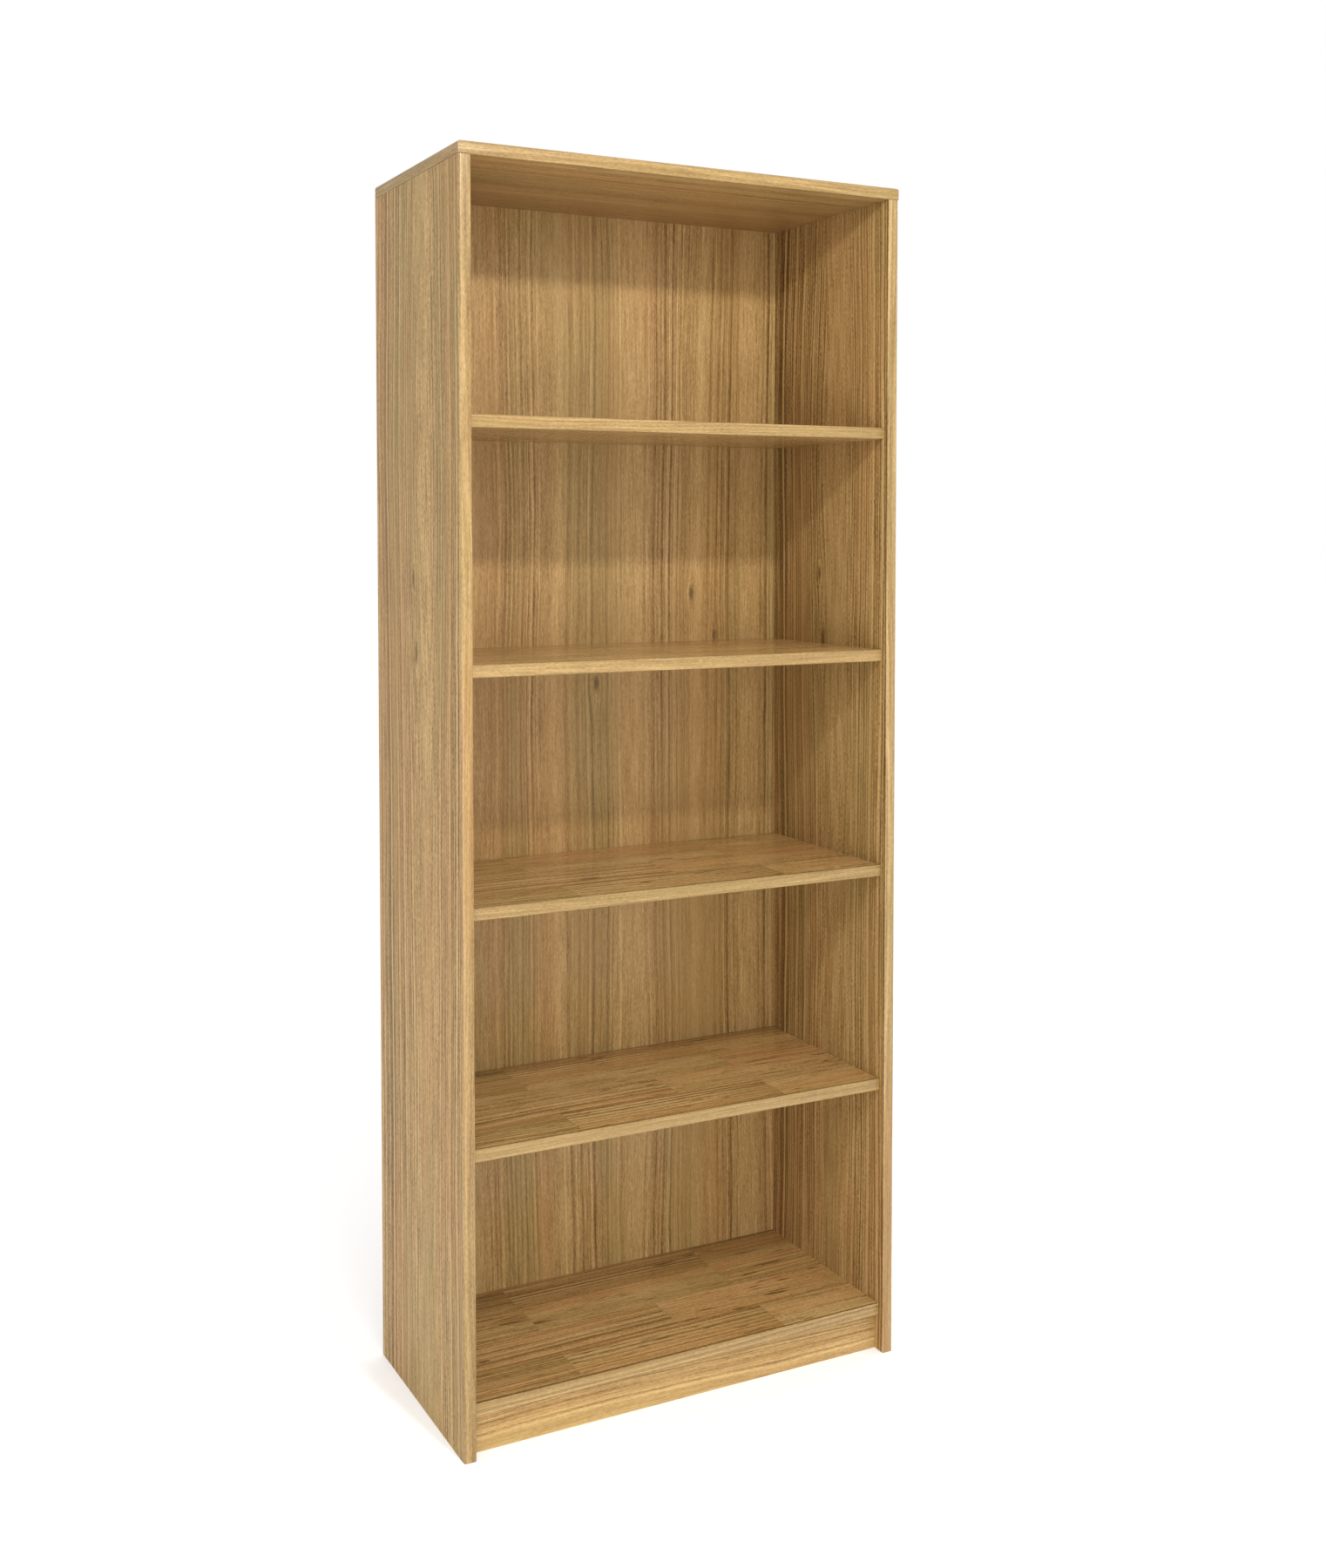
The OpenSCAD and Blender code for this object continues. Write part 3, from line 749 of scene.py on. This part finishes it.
# The hole plugs
# Moulded plastic plugs in the colour of the wood close the holes that no pin uses. Each has a
# slightly dished face, a rounded rim and three soft ribs that grip the hole.
plug_plastic, tree, shader = new_material("tan plug plastic")
place = add(tree, "TexCoord").outputs["Object"]
mottle = cloud(tree, place, (420.0, 420.0, 420.0), 2.0, 3.0)
tree.links.new(mixed(tree, mottle, colour(146, 112, 66), colour(160, 126, 78)), shader["Base Color"])
tree.links.new(spread(tree, mottle, 0.3, 0.7, 0.38, 0.5), shader["Roughness"])
grain = cloud(tree, place, (2600.0, 2600.0, 2600.0), 8.0)
relief = add(tree, "Bump", {"Height": grain, "Strength": 0.2, "Distance": 0.03 * MM})
tree.links.new(relief.outputs[0], shader["Normal"])
for side, inward in (("left", 1), ("right", -1)):
    node = "hole_plugs_" + side
    bm = bmesh.new()
    for low, high in separate_solids(node):
        mid = (low + high) / 2
        face = Vector((high.x if inward > 0 else low.x, mid.y, mid.z))
        deep = Vector((low.x if inward > 0 else high.x, mid.y, mid.z))
        outline = [(0, 0.16), (0.9, 0.13), (1.7, 0.05), (2.05, 0.01), (2.3, 0.04), (2.43, 0.2),
                   (2.43, 0.9), (2.2, 1.1)]
        for rib in range(3):
            at = 2.2 + 2 * rib
            outline += [(2.2, at), (2.44, at + 0.3), (2.44, at + 0.6), (2.2, at + 1.2)]
        outline += [(2.1, 8.6), (1.7, 9.0), (0, 9.0)]
        turned(bm, outline, upright_to(face, deep), 32)
    new_piece("moulded_plugs_" + side, bm, plug_plastic, "carcass", [node])


# The dowels
# Fluted beech dowels, 8 mm thick, glued into both boards of every joint. The flutes wind slightly,
# so that glue and air can escape, and the ends are chamfered.
BEECH = {
    "Pale": colour(226, 196, 152), "Mid": colour(208, 172, 126), "Deep": colour(166, 124, 82),
    "Olive": colour(206, 178, 130), "Rust": colour(206, 154, 112),
}
beech = {}
for label, axes in (("across", (Y, X, Z)), ("upright", (X, Z, Y))):
    beech[label] = lacquered_wood(
        "beech " + label, *axes, 61.0, leaf=0.05, tones=BEECH, contrast=0.6, olive=0.2, rust=0.3,
        marks=0.1, gloss=0.7, coat=0.0, bump=0.4)
for node in ("top_dowels_left", "top_dowels_right", "bottom_dowels_left", "bottom_dowels_right",
             "plinth_dowels_left", "plinth_dowels_right", "plinth_top_dowels"):
    bm = bmesh.new()
    for low, high in separate_solids(node):
        mid, size = (low + high) / 2, high - low
        axis = max(range(3), key=lambda part: size[part])
        start, end = mid.copy(), mid.copy()
        start[axis], end[axis] = low[axis], high[axis]
        outline = [(0, 0), (3.0, 0), (3.15, 0.05), (3.9, 0.8)]
        outline += [(3.95, 0.9 + 1.56 * step) for step in range(22)]
        outline += [(3.9, 34.2), (3.15, 34.95), (3.0, 35), (0, 35)]
        turned(bm, outline, upright_to(start, end), 72, 18, 0.28 * MM)
    label = "upright" if axis == Z else "across"
    new_piece("fluted_" + node, bm, beech[label], "carcass", [node], 50.0)


# The wall brackets
# Two angles of 2 mm zinc-plated steel with a folded corner, screwed to the rear of the top. A screw
# through the upright leg holds the case to the wall.
zinc = steel("zinc plate", (0.62, 0.64, 0.66, 1), (0.46, 0.48, 0.50, 1), 0.30, 0.2)
BRACKET_T = 2 * MM
BEND_R = 1.5 * MM
CORNER_R = 3.5 * MM
SCREW_HOLE_R = 2.1 * MM
WALL_HOLE_R = 2.75 * MM
HOLE_STEPS = 28
QUARTER_STEPS = 6


def plate(bm, outline, holes, place):
    """Fills a flat outline with round holes. Returns the vertices of the outline."""
    loops = [[bm.verts.new(place(*point)) for point in outline]]
    for across, up, radius in holes:
        angles = [2 * math.pi * step / HOLE_STEPS for step in range(HOLE_STEPS)]
        ring = [(across + radius * math.cos(angle), up + radius * math.sin(angle)) for angle in angles]
        loops.append([bm.verts.new(place(*point)) for point in ring])
    edges = [bm.edges.new((loop[step - 1], loop[step])) for loop in loops for step in range(len(loop))]
    bmesh.ops.triangle_fill(bm, use_beauty=True, use_dissolve=False, edges=edges)
    return loops[0]


def round_end(half, length):
    """A strip from up = 0 to length whose far corners are rounded."""
    points = [(half, 0.0)]
    for step in range(QUARTER_STEPS + 1):
        angle = math.radians(90 / QUARTER_STEPS * step)
        points.append((half - CORNER_R + CORNER_R * math.cos(angle),
                       length - CORNER_R + CORNER_R * math.sin(angle)))
    return points + [(-across, up) for across, up in reversed(points)]


for side in ("left", "right"):
    node = "wall_bracket_" + side
    low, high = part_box(node)
    mid_x, half = (low.x + high.x) / 2, (high.x - low.x) / 2
    bend_y, bend_z = high.y - BRACKET_T / 2 - BEND_R, low.z + BRACKET_T / 2 + BEND_R
    screws = [(box_low + box_high) / 2 for box_low, box_high in separate_solids("bracket_screws_" + side)]
    bm = bmesh.new()
    leg_holes = [(screw.x - mid_x, bend_y - screw.y, SCREW_HOLE_R) for screw in screws]
    leg = plate(bm, round_end(half, bend_y - low.y), leg_holes,
                lambda across, up: Vector((mid_x + across, bend_y - up, low.z + BRACKET_T / 2)))
    wall_hole = (0.0, low.z + BRACKET_T + (high.z - low.z - BRACKET_T) / 2 - bend_z, WALL_HOLE_R)
    upright = plate(bm, round_end(half, high.z - bend_z), [wall_hole],
                    lambda across, up: Vector((mid_x + across, high.y - BRACKET_T / 2, bend_z + up)))
    before = (leg[0], leg[-1])
    for step in range(1, QUARTER_STEPS + 1):
        angle = math.radians(90 / QUARTER_STEPS * step)
        at_y, at_z = bend_y + BEND_R * math.sin(angle), bend_z - BEND_R * math.cos(angle)
        after = (upright[0], upright[-1]) if step == QUARTER_STEPS else [
            bm.verts.new((mid_x + across, at_y, at_z)) for across in (half, -half)]
        bm.faces.new((before[0], before[1], after[1], after[0]))
        before = after
    bracket = new_piece("folded_bracket_" + side, bm, zinc, "carcass", [node], 30.0)
    thick = bracket.modifiers.new("sheet", "SOLIDIFY")
    thick.thickness, thick.offset, thick.use_even_offset = BRACKET_T, 0.0, True
    edge = bracket.modifiers.new("sheared edges", "BEVEL")
    edge.width, edge.segments, edge.limit_method = 0.2 * MM, 2, "ANGLE"
    edge.angle_limit, edge.use_clamp_overlap, edge.harden_normals = math.radians(50), False, True


# The bracket screws
# Short pan-head wood screws with a cross recess, two through each bracket into the top.
screw_steel = steel("zinc screw", (0.66, 0.65, 0.60, 1), (0.50, 0.49, 0.45, 1), 0.26)


def cross_recess(top_z, at, size, depth):
    """A cutter for the recess: two crossed wedges that taper towards their points."""
    cutter = bmesh.new()
    for quarter in range(2):
        along_x, along_y = (size, 0.28 * size) if quarter == 0 else (0.28 * size, size)
        rows = []
        for share_x, share_y, drop in ((1.0, 1.0, -0.5 * MM), (0.45, 0.6, depth)):
            half_x, half_y = along_x * share_x, along_y * share_y
            rows.append([cutter.verts.new((at.x + half_x * sx, at.y + half_y * sy, top_z - drop))
                         for sx, sy in ((-1, -1), (1, -1), (1, 1), (-1, 1))])
        cutter.faces.new(rows[0][::-1])
        cutter.faces.new(rows[1])
        for step in range(4):
            after = (step + 1) % 4
            cutter.faces.new((rows[0][step], rows[0][after], rows[1][after], rows[1][step]))
    bmesh.ops.recalc_face_normals(cutter, faces=cutter.faces)
    return cutter


for side in ("left", "right"):
    node = "bracket_screws_" + side
    bm = bmesh.new()
    cutters = []
    for low, high in separate_solids(node):
        mid = (low + high) / 2
        top, tip = Vector((mid.x, mid.y, high.z)), Vector((mid.x, mid.y, low.z))
        length = (high.z - low.z) / MM
        head = [(0, 0.02), (1.2, 0.05), (2.2, 0.22), (2.9, 0.6), (3.35, 1.2), (3.48, 1.9), (3.4, 2.2),
                (1.72, 2.2), (1.7, 4.2), (0, 4.3)]
        turned(bm, head, upright_to(top, tip), 40)
        shank = [(0, 4.0)] + [(1.74, 4.1 + 0.15 * step) for step in range(int((length - 7.5) / 0.15))]
        last, end = shank[-1][1], length - 0.05
        shank += [(1.74 * (1 - step / 20), last + (end - last) * step / 20) for step in range(1, 20)]
        turned(bm, shank + [(0, end)], upright_to(top, tip), 24, pitch=1.4 * MM, thread=0.45 * MM)
        cutters.append((high.z, mid))
    piece = new_piece("pan_head_screws_" + side, bm, screw_steel, "carcass", [node], 40.0)
    for number, (top_z, mid) in enumerate(cutters):
        cutter = cross_recess(top_z, mid, 2.0 * MM, 1.5 * MM)
        cutter_mesh = bpy.data.meshes.new("recess cutter")
        cutter.to_mesh(cutter_mesh)
        cutter.free()
        block = bpy.data.objects.new("recess cutter", cutter_mesh)
        bpy.context.collection.objects.link(block)
        recess = piece.modifiers.new("recess", "BOOLEAN")
        recess.operation, recess.object, recess.solver = "DIFFERENCE", block, "EXACT"
        recess.use_self = True
        bpy.context.view_layer.update()
        graph = bpy.context.evaluated_depsgraph_get()
        cut_mesh = bpy.data.meshes.new_from_object(piece.evaluated_get(graph))
        piece.modifiers.clear()
        piece.data = cut_mesh
        bpy.data.objects.remove(block)
        bpy.data.meshes.remove(cutter_mesh)
    piece.data.set_sharp_from_angle(angle=math.radians(40))


# The studio
# A white floor and background with soft light from all round, and one small lamp in front of the
# case and above it, which throws the edges of the shadows on the back panel.
floor_size = 30.0
bm = bmesh.new()
bmesh.ops.create_grid(bm, x_segments=2, y_segments=2, size=floor_size)
mesh = bpy.data.meshes.new("studio_floor")
bm.to_mesh(mesh)
bm.free()
floor = bpy.data.objects.new("studio_floor", mesh)
bpy.context.collection.objects.link(floor)
floor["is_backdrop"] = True
paper, tree, shader = new_material("white paper")
patches = cloud(tree, add(tree, "TexCoord").outputs["Object"], (0.6, 0.6, 0.6), 1.0)
paper_tone = mixed(tree, patches, (0.92, 0.92, 0.92, 1), (0.95, 0.95, 0.95, 1))
tree.links.new(paper_tone, shader["Base Color"])
shader["Roughness"].default_value = 0.9
shader["Emission Color"].default_value = (1.0, 1.0, 1.0, 1.0)
shader["Emission Strength"].default_value = 0.12
floor.data.materials.append(paper)

world = bpy.data.worlds.new("studio")
world.use_nodes = True
bpy.context.scene.world = world
sky = world.node_tree
sky.nodes["Background"].inputs["Color"].default_value = (1.0, 1.0, 1.0, 1.0)
sky.nodes["Background"].inputs["Strength"].default_value = 1.0


def lamp(name, place, aim, size, power):
    data = bpy.data.lights.new(name, "AREA")
    data.shape, data.size, data.energy = "DISK", size, power
    made = bpy.data.objects.new(name, data)
    made.location = place
    made.rotation_euler = (Vector(aim) - Vector(place)).to_track_quat("-Z", "Y").to_euler()
    bpy.context.collection.objects.link(made)


lamp("key", (-0.15, -1.51, 2.227), (0.0, 0.1, 1.2), 0.10, 15.5)
lamp("low fill", (-0.8, -1.9, 0.55), (0.0, 0.1, 0.5), 1.0, 16.0)
lamp("high fill", (-0.5, -2.0, 2.2), (0.0, 0.0, 0.6), 1.2, 10.0)

bpy.context.scene.view_settings.view_transform = "Standard"

lens = bpy.data.cameras.new("camera")
lens.sensor_width = 36.0
lens.lens = 39.12
lens.shift_y = -0.115
camera = bpy.data.objects.new("camera", lens)
camera.location = (-1.1654, -2.3317, 1.2782)
camera.rotation_euler = (math.radians(90.0 - 2.399), 0.0, math.radians(-27.403))
bpy.context.collection.objects.link(camera)
bpy.context.scene.camera = camera

low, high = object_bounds()
